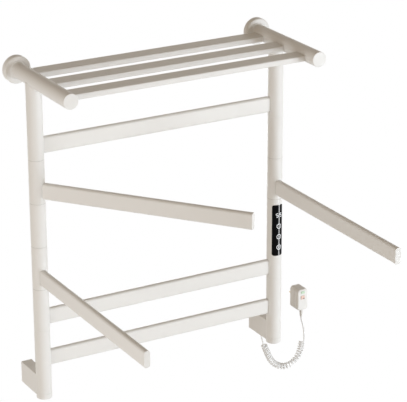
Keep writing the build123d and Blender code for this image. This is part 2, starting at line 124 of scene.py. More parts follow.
class Graph:
    """A node tree under construction, with short ways to add and join nodes."""

    def __init__(self, tree: NodeTree) -> None:
        """Keep the tree that the nodes go into."""
        self.tree = tree

    def add(self, kind: str, settings: dict | None = None, **values: object) -> Node:
        """Add a node.

        Args:
            kind: Blender's name for the node type.
            settings: Attributes of the node itself, such as its operation.
            values: Input values or sockets by name, with underscores for spaces.

        Returns:
            The new node.
        """
        node = self.tree.nodes.new(kind)
        for name, value in (settings or {}).items():
            setattr(node, name, value)
        for name, value in values.items():
            self.feed(node.inputs[name.replace("_", " ")], value)
        return node

    def feed(self, socket: NodeSocket, value: object) -> None:
        """Join an output socket to an input, or set the input's own value.

        Args:
            socket: The input.
            value: Its value, or the output socket that it takes.
        """
        if isinstance(value, NodeSocket):
            self.tree.links.new(value, socket)
        else:
            socket.default_value = value

    def math(self, operation: str, first: object, second: object = 0.0) -> NodeSocket:
        """Add a Math node.

        Args:
            operation: Blender's name for the operation.
            first: Value or socket of the first operand.
            second: Value or socket of the second operand.

        Returns:
            The result's socket.
        """
        node = self.add("ShaderNodeMath", {"operation": operation})
        self.feed(node.inputs[0], first)
        self.feed(node.inputs[1], second)
        return node.outputs[0]

    def mix(self, share: object, first: object, second: object) -> NodeSocket:
        """Add a Mix node for colours.

        Args:
            share: Value or socket of the second colour's share.
            first: Value or socket of the first colour.
            second: Value or socket of the second colour.

        Returns:
            The mixed colour's socket.
        """
        node = self.add("ShaderNodeMix", {"data_type": "RGBA"})
        for index, value in zip(MIX_COLOUR_INPUTS, (share, first, second)):
            self.feed(node.inputs[index], value)
        return node.outputs[MIX_COLOUR_RESULT]


class PieceTree(Graph):
    """A Geometry Nodes tree with named inputs that is turned into a plain mesh."""

    def __init__(self, name: str, inputs: dict[str, str]) -> None:
        """Start the tree.

        Args:
            name: The tree's name.
            inputs: Socket kind of each named input, such as Float or Vector.
        """
        super().__init__(bpy.data.node_groups.new(name, "GeometryNodeTree"))
        face = self.tree.interface
        face.new_socket("Points", in_out="INPUT", socket_type="NodeSocketGeometry")
        for label, kind in {**inputs, "Finish": "Material"}.items():
            face.new_socket(label, in_out="INPUT", socket_type=f"NodeSocket{kind}")
        face.new_socket("Piece", in_out="OUTPUT", socket_type="NodeSocketGeometry")
        self.given = self.tree.nodes.new("NodeGroupInput").outputs
        self.result = self.tree.nodes.new("NodeGroupOutput").inputs[0]

    def close(self, geometry: NodeSocket, smooth: bool = True) -> None:
        """End the tree: make instances real, shade them and set their finish.

        Args:
            geometry: Socket of what the tree has made.
            smooth: Whether its faces are shaded smooth.
        """
        real = self.add("GeometryNodeRealizeInstances", Geometry=geometry)
        shaded = self.add("GeometryNodeSetShadeSmooth", Geometry=real.outputs[0], Shade_Smooth=smooth)
        dressed = self.add(
            "GeometryNodeSetMaterial", Geometry=shaded.outputs[0], Material=self.given["Finish"]
        )
        self.feed(self.result, dressed.outputs[0])

    def place(self, points: NodeSocket, instance: Node, **values: object) -> NodeSocket:
        """Put a node's form on every point, with further inputs such as Scale or Rotation."""
        node = self.add("GeometryNodeInstanceOnPoints", Points=points, Instance=instance.outputs[0], **values)
        return node.outputs[0]

    def tube(self, curve: NodeSocket, radius: object, sides: int = 8) -> NodeSocket:
        """Round bead along curves.

        Args:
            curve: Socket of the curves, instances among them.
            radius: Value or socket of the bead's radius.
            sides: Corners of the bead's round section.

        Returns:
            Socket of the bead's mesh.
        """
        real = self.add("GeometryNodeRealizeInstances", Geometry=curve)
        section = self.add("GeometryNodeCurvePrimitiveCircle", Resolution=sides, Radius=radius)
        bead = self.add("GeometryNodeCurveToMesh", Curve=real.outputs[0], Fill_Caps=True)
        self.feed(bead.inputs["Profile Curve"], section.outputs[0])
        return bead.outputs[0]

    def mesh(self, points: Sequence[Point], **values: object) -> Mesh:
        """Evaluate the tree once.

        Args:
            points: Places that the tree is given, in metres.
            values: The named inputs, with underscores for spaces.

        Returns:
            The result as a plain mesh.
        """
        seeds = bpy.data.meshes.new(f"{self.tree.name}_points")
        seeds.from_pydata(points, [], [])
        owner = add_object(f"{self.tree.name}_maker", seeds)
        maker = owner.modifiers.new("maker", "NODES")
        maker.node_group = self.tree
        for item in self.tree.interface.items_tree:
            key = item.name.replace(" ", "_")
            if item.in_out == "INPUT" and key in values:
                maker[item.identifier] = values[key]
        return bake(owner)


class Surface(Graph):
    """A node material under construction."""

    def __init__(self, name: str) -> None:
        """Start the material with its main shader.

        Args:
            name: The material's name.
        """
        self.material = bpy.data.materials.new(name)
        self.material.use_nodes = True
        super().__init__(self.material.node_tree)
        self.shader = self.tree.nodes["Principled BSDF"]

    def set(self, name: str, value: object) -> None:
        """Give the main shader's named input a value or a socket."""
        self.feed(self.shader.inputs[name], value)

    def noise(self, scale: float, detail: float, **values: object) -> NodeSocket:
        """Noise that is fixed to the object.

        Args:
            scale: Features for each metre.
            detail: Octaves.
            values: Further inputs of the noise node.

        Returns:
            Socket of the noise, from zero to one.
        """
        place = self.add("ShaderNodeTexCoord").outputs["Object"]
        node = self.add("ShaderNodeTexNoise", Vector=place, Scale=scale, Detail=detail, **values)
        return node.outputs["Fac"]


@dataclass(frozen=True)
class Finish:
    """A surface finish with a body colour that varies, painted shade in tight seams, a fine relief and a worn
    sheen.

    Its grain is a count for each metre and a height in metres, its clouds are a count for each metre.
    """

    name: str
    colour: Colour
    second_colour: Colour
    roughness: float = 0.45
    roughness_spread: float = 0.06
    specular: float = 0.4
    metallic: float = 0.0
    coat: float = 0.0
    coat_roughness: float = 0.1
    grain: Flat = (700.0, 0.00003)
    grain_detail: float = 2.0
    relief_strength: float = 0.6
    clouds: float = 9.0
    cloud_detail: float = 3.0
    cloud_roughness: float = 0.6
    smears_per_cloud: float = 5.0
    smear_detail: float = 4.0
    # The seam fields paint shade: the colour darkens where ambient occlusion finds surfaces close by.
    seam_shade: float = 0.0
    seam_reach: float = 0.003
    seam_samples: int = 8
    seam_fade: float = 1.5

    def material(self) -> Material:
        """Build the finish as a node material.

        Returns:
            The material, named after the finish.
        """
        surface = Surface(self.name)
        surface.set("Base Color", self.body_colour(surface))
        surface.set("Roughness", self.sheen(surface))
        surface.set("Normal", self.relief(surface))
        surface.set("Metallic", self.metallic)
        surface.set("Specular IOR Level", self.specular)
        surface.set("Coat Weight", self.coat)
        surface.set("Coat Roughness", self.coat_roughness)
        surface.material.diffuse_color = rgba(self.colour)
        return surface.material

    def body_colour(self, surface: Surface) -> NodeSocket:
        """Slow drift between two near colours, with painted shade that darkens it in tight seams.

        Args:
            surface: The material under construction.

        Returns:
            Socket of the colour.
        """
        cloud = surface.noise(self.clouds, self.cloud_detail, Roughness=self.cloud_roughness)
        drift = surface.mix(cloud, rgba(self.colour), rgba(self.second_colour))
        if not self.seam_shade:
            return drift
        # Painted shade: ambient occlusion darkens the colour in seams and hollows.
        shelter = surface.add(
            "ShaderNodeAmbientOcclusion", {"samples": self.seam_samples}, Distance=self.seam_reach
        )
        open_share = surface.math("POWER", shelter.outputs["AO"], self.seam_fade)
        dark = tuple(c * (1.0 - self.seam_shade) for c in self.colour)
        return surface.mix(open_share, rgba(dark), drift)

    def sheen(self, surface: Surface) -> NodeSocket:
        """Socket of a roughness that varies a little from handling."""
        spread = surface.add(
            "ShaderNodeMapRange",
            Value=surface.noise(self.clouds * self.smears_per_cloud, self.smear_detail),
            To_Min=self.roughness - self.roughness_spread, To_Max=self.roughness + self.roughness_spread,
        )
        return spread.outputs[0]

    def relief(self, surface: Surface) -> NodeSocket:
        """Fine bumps of the surface.

        Args:
            surface: The material under construction.

        Returns:
            Socket of the normal.
        """
        count, height = self.grain
        bump = surface.add(
            "ShaderNodeBump", Strength=self.relief_strength, Distance=height,
            Height=surface.noise(count, self.grain_detail),
        )
        return bump.outputs["Normal"]


@dataclass(frozen=True)
class GlowInk:
    """Printed mark on the panel that the lamp behind lights evenly."""

    name: str
    colour: Colour
    strength: float
    roughness: float = 0.35
    speckle_per_metre: float = 1800.0
    speckle_detail: float = 1.0
    speckle_shade: float = 0.85

    def material(self) -> Material:
        """Build the lit ink, a little uneven as printed ink is.

        Returns:
            The material, named after the ink.
        """
        surface = Surface(self.name)
        dim = tuple(self.speckle_shade * c for c in self.colour)
        speckle = surface.noise(self.speckle_per_metre, self.speckle_detail)
        tone = surface.mix(speckle, rgba(self.colour), rgba(dim))
        surface.set("Base Color", tone)
        surface.set("Emission Color", tone)
        surface.set("Emission Strength", self.strength)
        surface.set("Roughness", self.roughness)
        return surface.material


class Finishes(Enum):
    """Every finish on the rack. Those of the solids have the names of the record's material slots."""

    PAINTED_FRAME = Finish(
        "white_powder_coat", (0.82, 0.806, 0.782), (0.80, 0.785, 0.76), roughness=0.42, specular=0.35,
        grain=(900.0, 0.00002), seam_shade=0.2,
    )
    END_CAPS = Finish(
        "satin_white_cap_plastic", (0.83, 0.816, 0.793), (0.81, 0.796, 0.772), roughness=0.36, specular=0.4,
        grain=(1600.0, 0.00001), seam_shade=0.5,
    )
    CORE_METAL = Finish(
        "mill_aluminium", (0.70, 0.70, 0.71), (0.62, 0.62, 0.64), roughness=0.38, metallic=1.0,
        grain=(400.0, 0.00002), clouds=30.0,
    )
    WASHER_PLASTIC = Finish(
        "grey_thrust_washer", (0.60, 0.585, 0.56), (0.55, 0.535, 0.51), roughness=0.55,
        grain=(1200.0, 0.00003), seam_shade=0.4,
    )
    SCREW_STEEL = Finish(
        "zinc_grub_screw", (0.55, 0.55, 0.56), (0.48, 0.48, 0.50), roughness=0.34, metallic=1.0,
        grain=(1500.0, 0.00002), clouds=120.0,
    )
    # Painted shade: the near-black colour stands for the shade inside the grub screws' hex sockets.
    SOCKET_DARK = Finish(
        "dark_hex_socket", (0.05, 0.05, 0.052), (0.03, 0.03, 0.032), roughness=0.5, metallic=1.0,
        clouds=200.0,
    )
    HEATER_SILICONE = Finish(
        "red_silicone_heater", (0.50, 0.13, 0.08), (0.43, 0.10, 0.06), roughness=0.6,
        grain=(900.0, 0.00006), clouds=40.0,
    )
    FASCIA_GLOSS = Finish(
        "gloss_black_panel", (0.0012, 0.0012, 0.0014), (0.002, 0.002, 0.0023), roughness=0.1,
        roughness_spread=0.03, specular=0.045, grain=(60.0, 0.000004), clouds=40.0,
    )
    CIRCUIT_BOARD = Finish(
        "green_circuit_board", (0.02, 0.16, 0.07), (0.03, 0.22, 0.10), roughness=0.4,
        grain=(500.0, 0.00005), clouds=160.0,
    )
    CORD_SHEATH = Finish(
        "white_cord_sheath", (0.90, 0.905, 0.91), (0.87, 0.875, 0.88), roughness=0.36, specular=0.45,
        grain=(1400.0, 0.00002), clouds=60.0,
    )
    PLUG_SHELL = Finish(
        "white_plug_shell", (0.86, 0.845, 0.82), (0.83, 0.815, 0.79), roughness=0.34, specular=0.45,
        grain=(2200.0, 0.000012), clouds=40.0, seam_shade=0.2,
    )
    PIN_BRASS = Finish(
        "plated_brass_pin", (0.78, 0.66, 0.42), (0.70, 0.57, 0.34), roughness=0.26, metallic=1.0,
        grain=(900.0, 0.00001), clouds=150.0,
    )
    TEST_GREEN = Finish(
        "green_test_button", (0.60, 0.78, 0.58), (0.56, 0.75, 0.54), roughness=0.32, coat=0.2,
        grain=(2500.0, 0.00001), clouds=150.0,
    )
    RESET_ORANGE = Finish(
        "coral_reset_button", (0.86, 0.62, 0.53), (0.83, 0.58, 0.49), roughness=0.32, coat=0.2,
        grain=(2500.0, 0.00001), clouds=150.0,
    )
    PLUG_SEAM = Finish(
        "plug_moulding_seam", (0.66, 0.645, 0.62), (0.60, 0.585, 0.56), roughness=0.45,
        grain=(2200.0, 0.000012), clouds=40.0,
    )
    MARK_BROWN = Finish(
        "dark_brown_mark", (0.11, 0.075, 0.06), (0.09, 0.06, 0.048), roughness=0.4, grain=(2500.0, 0.00001),
        clouds=150.0,
    )


class LitInk(Enum):
    """The inks on the control panel."""

    DISPLAY = GlowInk("lit_display_segments", (0.80, 0.82, 0.84), 0.45)
    KEY = GlowInk("lit_key_print", (0.76, 0.78, 0.80), 0.4)


class Paintbox(dict[Enum, Material]):
    """The material of each finish, made on first use."""

    def __missing__(self, finish: Finishes | LitInk) -> Material:
        """Make and keep the material of a finish that is asked for the first time."""
        self[finish] = finish.value.material()
        return self[finish]


@dataclass
class Rack:
    """The carried-over solids of the rack: posts, bars, arms, shelf, control and plug."""

    paint: Paintbox

    def dress(self) -> None:
        """Give every solid the finish of its material slot."""
        slots = {entry["node"]: entry["material_slot"] for entry in frame["record"]["subparts"]}
        for name, node in frame["nodes"].items():
            finish = Finishes[slots[name].upper()]
            node.data.materials.clear()
            node.data.materials.append(self.paint[finish])
            LOG.info("solid %s: %s", name, finish.value.name)


def join_piece(name: str, mesh: Mesh, body: str = FRAME_BODY) -> Object:
    """Put a finished mesh into the scene as a piece that rides on a body.

    Args:
        name: The piece's name.
        mesh: Its mesh, already in place.
        body: The body that it rides on.

    Returns:
        The new object.
    """
    piece = add_object(name, mesh)
    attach(piece, body)
    LOG.info("piece %s: %d faces", name, len(mesh.polygons))
    return piece


def rib_tree() -> PieceTree:
    """Rings that follow a tapered boot from one end to the other.

    Returns:
        The tree, with inputs for the count, the two ends, their radii and the ribs' own radius.
    """
    tree = PieceTree("boot_ribs", {
        "Count": "Int", "Start": "Vector", "End": "Vector", "Start Radius": "Float", "End Radius": "Float",
        "Rib": "Float",
    })
    line = tree.add(
        "GeometryNodeMeshLine", {"mode": "END_POINTS"}, Count=tree.given["Count"],
        Start_Location=tree.given["Start"], Offset=tree.given["End"],
    )
    taper = tree.add(
        "ShaderNodeMapRange", Value=tree.add("GeometryNodeInputIndex").outputs[0],
        From_Max=tree.math("SUBTRACT", tree.given["Count"], 1.0), To_Min=tree.given["Start Radius"],
        To_Max=tree.given["End Radius"],
    )
    ring = tree.add("GeometryNodeCurvePrimitiveCircle", Resolution=RIB_SIDES, Radius=1.0)
    rings = tree.place(line.outputs[0], ring, Scale=taper.outputs[0])
    tree.close(tree.tube(rings, tree.given["Rib"]))
    return tree


def grip_tree() -> PieceTree:
    """Short round bars in a row on each given point.

    Returns:
        The tree, with inputs for the count, the step between bars, the bar's run and its radius.
    """
    tree = PieceTree("grip_bars", {"Count": "Int", "Step": "Vector", "Run": "Vector", "Bar": "Float"})
    row = tree.add(
        "GeometryNodeMeshLine", {"mode": "OFFSET"}, Count=tree.given["Count"], Offset=tree.given["Step"]
    )
    rows = tree.add("GeometryNodeRealizeInstances", Geometry=tree.place(tree.given["Points"], row))
    bar = tree.add("GeometryNodeCurvePrimitiveLine", End=tree.given["Run"])
    tree.close(tree.tube(tree.place(rows.outputs[0], bar), tree.given["Bar"], BAR_SIDES))
    return tree


def outline_tree() -> PieceTree:
    """Fine bead round an upright rounded rectangle, centred on each given point.

    Returns:
        The tree, with inputs for the width, the height, the corner and the bead's radius.
    """
    tree = PieceTree(
        "outline_bead", {"Width": "Float", "Height": "Float", "Corner": "Float", "Bead": "Float"}
    )
    frame_line = tree.add(
        "GeometryNodeCurvePrimitiveQuadrilateral", Width=tree.given["Width"], Height=tree.given["Height"]
    )
    rounded = tree.add(
        "GeometryNodeFilletCurve", {"mode": "POLY"}, Curve=frame_line.outputs[0], Radius=tree.given["Corner"],
        Count=CORNER_STEPS,
    )
    placed = tree.place(tree.given["Points"], rounded, Rotation=UPRIGHT)
    tree.close(tree.tube(placed, tree.given["Bead"]))
    return tree


def socket_tree() -> PieceTree:
    """Six-sided key sockets with a raised lip, facing down on each given point, each a flat dark disc of
    painted shade in place of the socket's hollow.

    Returns:
        The tree, with inputs for the socket's radius and its lip.
    """
    tree = PieceTree("key_sockets", {"Radius": "Float", "Lip": "Float"})
    # The flat dark disc is painted shade in place of the socket's hollow.
    pit = tree.add(
        "GeometryNodeMeshCylinder", Vertices=HEX_SIDES, Radius=tree.given["Radius"], Depth=tree.given["Lip"]
    )
    rim = tree.add("GeometryNodeCurvePrimitiveCircle", Resolution=HEX_SIDES, Radius=tree.given["Radius"])
    both = tree.add("GeometryNodeJoinGeometry")
    tree.feed(both.inputs[0], tree.tube(rim.outputs[0], tree.given["Lip"], HEX_SIDES))
    tree.feed(both.inputs[0], pit.outputs[0])
    tree.close(tree.place(tree.given["Points"], both), smooth=False)
    return tree


def touch_ring_tree() -> PieceTree:
    """Flat rings at given heights, wrapped on the round front of a post.

    Returns:
        The tree, with inputs for the ring's radius and stroke, the post's axis and the wrapped radius.
    """
    tree = PieceTree(
        "touch_rings", {"Radius": "Float", "Stroke": "Float", "Axis": "Vector", "Wrap": "Float"}
    )
    ring = tree.add("GeometryNodeCurvePrimitiveCircle", Resolution=RING_SIDES, Radius=tree.given["Radius"])
    rings = tree.place(tree.given["Points"], ring, Rotation=UPRIGHT)
    bead = tree.tube(rings, tree.math("MULTIPLY", tree.given["Stroke"], 0.5))
    at = tree.add("ShaderNodeSeparateXYZ", Vector=tree.add("GeometryNodeInputPosition").outputs[0])
    lift = tree.math("ADD", tree.given["Wrap"], tree.math("MULTIPLY", at.outputs["Y"], RING_FLATNESS))
    turn = tree.math("DIVIDE", at.outputs["X"], tree.given["Wrap"])
    sideways = tree.math("MULTIPLY", lift, tree.math("SINE", turn))
    inward = tree.math("MULTIPLY", tree.math("MULTIPLY", lift, tree.math("COSINE", turn)), -1.0)
    bent = tree.add("ShaderNodeCombineXYZ", X=sideways, Y=inward, Z=at.outputs["Z"])
    wrapped = tree.add(
        "GeometryNodeSetPosition", Geometry=bead, Position=bent.outputs[0], Offset=tree.given["Axis"]
    )
    tree.close(wrapped.outputs[0])
    return tree


def join_sheet(
    name: str, sheet: BMesh, material: Material, body: str = FRAME_BODY, smooth: bool = False
) -> Object:
    """Turn built faces outwards and put them into the scene as a piece.

    Args:
        name: The piece's name.
        sheet: The built faces, freed here.
        material: Its only material.
        body: The body that it rides on.
        smooth: Whether its faces are shaded smooth.

    Returns:
        The new object.
    """
    bmesh.ops.recalc_face_normals(sheet, faces=sheet.faces)
    mesh = bpy.data.meshes.new(name)
    sheet.to_mesh(mesh)
    sheet.free()
    mesh.polygons.foreach_set("use_smooth", [smooth] * len(mesh.polygons))
    mesh.materials.append(material)
    return join_piece(name, mesh, body)


def strip(sheet: BMesh, rows: Sequence[Sequence[Vector]]) -> None:
    """Skin a row of closed sections as one closed form.

    Args:
        sheet: The mesh that the faces go into.
        rows: Sections with equal counts of points, in order.
    """
    loops = [[sheet.verts.new(place) for place in row] for row in rows]
    for here, there in zip(loops, loops[1:]):
        for k in range(len(here)):
            after = (k + 1) % len(here)
            sheet.faces.new((here[k], here[after], there[after], there[k]))
    sheet.faces.new(loops[0])
    sheet.faces.new(loops[-1])


def wave(middle: float) -> tuple[Flat, ...]:
    """Upright wavy line of a touch sign about a middle, as distance round the panel's front and rise."""
    rises = [(step / WAVE_STEPS - 0.5) * WAVE_HEIGHT for step in range(WAVE_STEPS + 1)]
    return tuple((middle + WAVE_SWING * math.sin(math.tau * rise / WAVE_LENGTH), rise) for rise in rises)


class Sign(Enum):
    """Strokes in each touch key, as distance round the panel's front and rise."""

    POWER = (((0.0, -0.4 * MM), (0.0, 3.4 * MM)),)
    TIMER = (
        ((0.0, -0.5 * MM), (0.0, 3.0 * MM)),
        ((-0.4 * MM, -0.3 * MM), (1.0 * MM, -0.9 * MM), (2.3 * MM, -1.5 * MM)),
    )
    HEAT = (wave(-1.4 * MM), wave(1.4 * MM))


@dataclass
class TouchPanel:
    """Lit marks on the curved control panel: two digits and three touch keys."""

    paint: Paintbox
    axis: Flat = (0.340, -0.104)
    wrap: float = 20.55 * MM
    thickness: float = 0.06 * MM
    reading: Sequence[str] = (LIT_FIVE, LIT_FIVE)
    reading_z: float = -67.6 * MM
    digit_size: Flat = (8.0 * MM, 11.6 * MM)
    digit_gap: float = 3.2 * MM
    segment: float = 1.85 * MM
    segment_clear: float = 0.35
    point_share: float = 0.1
    mark_shift: float = 2.2 * MM
    keys: Sequence[tuple[Sign, float]] = (
        (Sign.POWER, -98.8 * MM), (Sign.TIMER, -128.6 * MM), (Sign.HEAT, -158.0 * MM),
    )
    key_radius: float = 6.2 * MM
    key_stroke: float = 1.7 * MM
    sign_stroke: float = 0.95 * MM

    def on_panel(self, along: float, height: float, lift: float) -> Vector:
        """Place on the panel's round front.

        Args:
            along: Distance round the front from the marks' middle line.
            height: Height in the shared frame.
            lift: Distance off the panel.

        Returns:
            The place in the shared frame.
        """
        turn = (along + self.mark_shift) / self.wrap
        reach = self.wrap + lift
        return Vector(
            (self.axis[0] + reach * math.sin(turn), self.axis[1] - reach * math.cos(turn), height)
        )

    def stroke(self, sheet: BMesh, line: Sequence[Flat], width: float, pointed: bool) -> None:
        """Draw one even stroke on the panel.

        Args:
            sheet: The mesh that the stroke goes into.
            line: Its middle line, as distance round the front and height.
            width: Its width.
            pointed: Whether its two ends narrow to a point, as a display's segments do.
        """
        rows = []
        for index, (along, height) in enumerate(line):
            before = line[max(index - 1, 0)]
            after = line[min(index + 1, len(line) - 1)]
            way = Vector((after[0] - before[0], after[1] - before[1])).normalized()
            ends = index in (0, len(line) - 1)
            half = width * (self.point_share if pointed and ends else 0.5)
            left = (along - way.y * half, height + way.x * half)
            right = (along + way.y * half, height - way.x * half)
            section = ((left, 0.0), (right, 0.0), (right, self.thickness), (left, self.thickness))
            rows.append([self.on_panel(*side, lift) for side, lift in section])
        strip(sheet, rows)

    def segment_lines(self, lit: str, middle: float) -> list[list[Flat]]:
        """Middle lines of a digit's lit segments.

        Args:
            lit: Letters of the segments that are lit.
            middle: Where the digit's middle is, round the front.

        Returns:
            One line for each lit segment.
        """
        wide = (self.digit_size[0] - self.segment) / 2
        tall = (self.digit_size[1] - self.segment) / 2
        clear = self.segment_clear * self.segment
        corners = {
            "a": ((-wide, tall), (wide, tall)),
            "c": ((wide, 0), (wide, -tall)),
            "d": ((-wide, -tall), (wide, -tall)),
            "f": ((-wide, tall), (-wide, 0)),
            "g": ((-wide, 0), (wide, 0)),
        }
        lines = []
        for name in lit:
            start, end = (Vector(corner) for corner in corners[name])
            way = (end - start).normalized()
            start, end = start + way * clear, end - way * clear
            steps = [start.lerp(end, share) for share in SEGMENT_SHARES]
            lines.append([(middle + step.x, self.reading_z + step.y) for step in steps])
        return lines

    def build(self) -> None:
        """Make the digits, the keys' rings and their signs."""
        digits = bmesh.new()
        pitch = self.digit_size[0] + self.digit_gap
        for index, lit in enumerate(self.reading):
            middle = (index - (len(self.reading) - 1) / 2) * pitch
            for line in self.segment_lines(lit, middle):
                self.stroke(digits, line, self.segment, pointed=True)
        join_sheet("panel_digits", digits, self.paint[LitInk.DISPLAY])
        key_ink = self.paint[LitInk.KEY]
        signs = bmesh.new()
        for sign, height in self.keys:
            for line in sign.value:
                raised = [(along, height + rise) for along, rise in line]
                self.stroke(signs, raised, self.sign_stroke, pointed=False)
        join_sheet("panel_signs", signs, key_ink)
        rings = touch_ring_tree().mesh(
            [(self.mark_shift, 0.0, height) for _, height in self.keys], Radius=self.key_radius,
            Stroke=self.key_stroke, Axis=(*self.axis, 0.0), Wrap=self.wrap, Finish=key_ink,
        )
        join_piece("panel_key_rings", rings)


@dataclass
class SaddleWelds:
    """Smoothed hollow corners where a shelf arm meets its post and its wall flange."""

    paint: Paintbox
    post_places: Sequence[Flat] = ((-0.340, -0.104), (0.340, -0.104))
    shelf_z: float = 405.0 * MM
    post_radius: float = 20.0 * MM
    arm_radius: float = 19.5 * MM
    hollow: float = 6.5 * MM
    sweep: float = 68.0
    steps: int = 28
    bow_steps: int = 8
    flange_face: float = -17.0 * MM
    flange_hollow: float = 4.0 * MM
    screw_break: float = 16.0
    least_hollow: float = 0.15 * MM
    sink: float = 0.3 * MM
    fade: float = 1.5

    def bow(self, foot: Flat, corner: Flat, head: Flat) -> list[Flat]:
        """Hollow line from one surface to the other, closed by a point sunk behind their corner.

        Args:
            foot: Where it leaves the first surface.
            corner: Where the two surfaces meet.
            head: Where it joins the second surface.

        Returns:
            The line's points.
        """
        line = []
        for step in range(self.bow_steps + 1):
            t = step / self.bow_steps
            weights = ((1 - t) ** 2, 2 * t * (1 - t), t**2)
            ends = list(zip(weights, (foot, corner, head)))
            line.append(tuple(sum(w * p[k] for w, p in ends) for k in (0, 1)))
        return [*line, (corner[0] - self.sink, corner[1] + self.sink)]

    def flange_rows(self, post_x: float) -> list[list[Vector]]:
        """Sections of the hollow corner round an arm at its wall flange, open below for the grub screw.

        Args:
            post_x: Where the arm is along the wall.

        Returns:
            Closed sections, in order round the arm.
        """
        face, size, radius = self.flange_face, self.flange_hollow, self.arm_radius
        line = self.bow((radius, face - size), (radius, face), (radius + size, face))
        rows = []
        steps, way_round = 2 * self.steps, 360 - 2 * self.screw_break
        for step in range(steps + 1):
            turn = math.radians(self.screw_break + way_round * step / steps - 90)
            out = Vector((math.cos(turn), 0.0, math.sin(turn)))
            rows.append([Vector((post_x, y, self.shelf_z)) + out * r for r, y in line])
        return rows

    def underside(self, across: float) -> float:
        """Height of the shelf arm's underside at a distance across from its middle."""
        return self.shelf_z - math.sqrt(max(self.arm_radius**2 - across**2, 0.0))

    def section(self, place: Flat, heading: float, share: float) -> list[Vector]:
        """Closed section of the hollow corner at one heading round the post.

        Args:
            place: The post's axis.
            heading: Heading round the post in radians, from the room side.
            share: How much of the full hollow there is here.

        Returns:
            The section's points.
        """
        out = Vector((math.sin(heading), -math.cos(heading), 0.0))
        size = max(self.hollow * share, self.least_hollow)
        corner = (self.post_radius, self.underside(self.post_radius * out.x))
        foot = (self.post_radius, corner[1] - size)
        head = (self.post_radius + size, self.underside((self.post_radius + size) * out.x))
        flat = self.bow(foot, corner, head)
        return [Vector((place[0], place[1], 0.0)) + out * r + Vector((0, 0, z)) for r, z in flat]

    def build(self) -> None:
        """Make the hollow corners on both sides of each post and at its arm's flange."""
        sheet = bmesh.new()
        for place in self.post_places:
            strip(sheet, self.flange_rows(place[0]))
            for facing in (0.0, math.pi):
                rows = []
                for step in range(self.steps + 1):
                    turn = math.radians(self.sweep) * (2 * step / self.steps - 1)
                    share = math.cos(turn * 90 / self.sweep) ** self.fade
                    rows.append(self.section(place, facing + turn, share))
                strip(sheet, rows)
        join_sheet("saddle_welds", sheet, self.paint[Finishes.PAINTED_FRAME], smooth=True)


@dataclass
class KeySockets:
    """Six-sided sockets in the four grub screws, their hollows painted as near-black shade."""

    paint: Paintbox
    places: Sequence[Point] = (
        (-0.340, -0.020, 0.38555), (0.340, -0.020, 0.38555),
        (-0.340, -0.007, -0.43495), (0.340, -0.007, -0.43495),
    )
    radius: float = 1.1 * MM
    lip: float = 0.12 * MM

    def build(self) -> None:
        """Make the sockets on the screws' lower faces."""
        mesh = socket_tree().mesh(
            self.places, Radius=self.radius, Lip=self.lip, Finish=self.paint[Finishes.SOCKET_DARK]
        )
        join_piece("grub_screw_sockets", mesh)


@dataclass(frozen=True)
class RibbedBoot:
    """Rings on a tapered cord boot."""

    axis: Flat
    ends: Flat
    radii: Flat
    count: int
    rib: float

    def mesh(self, tree: PieceTree, finish: Material) -> Mesh:
        """Make the rings with the rib tree."""
        return tree.mesh(
            [], Count=self.count, Start=(*self.axis, self.ends[0]), End=(*self.axis, self.ends[1]),
            Start_Radius=self.radii[0], End_Radius=self.radii[1], Rib=self.rib, Finish=finish,
        )


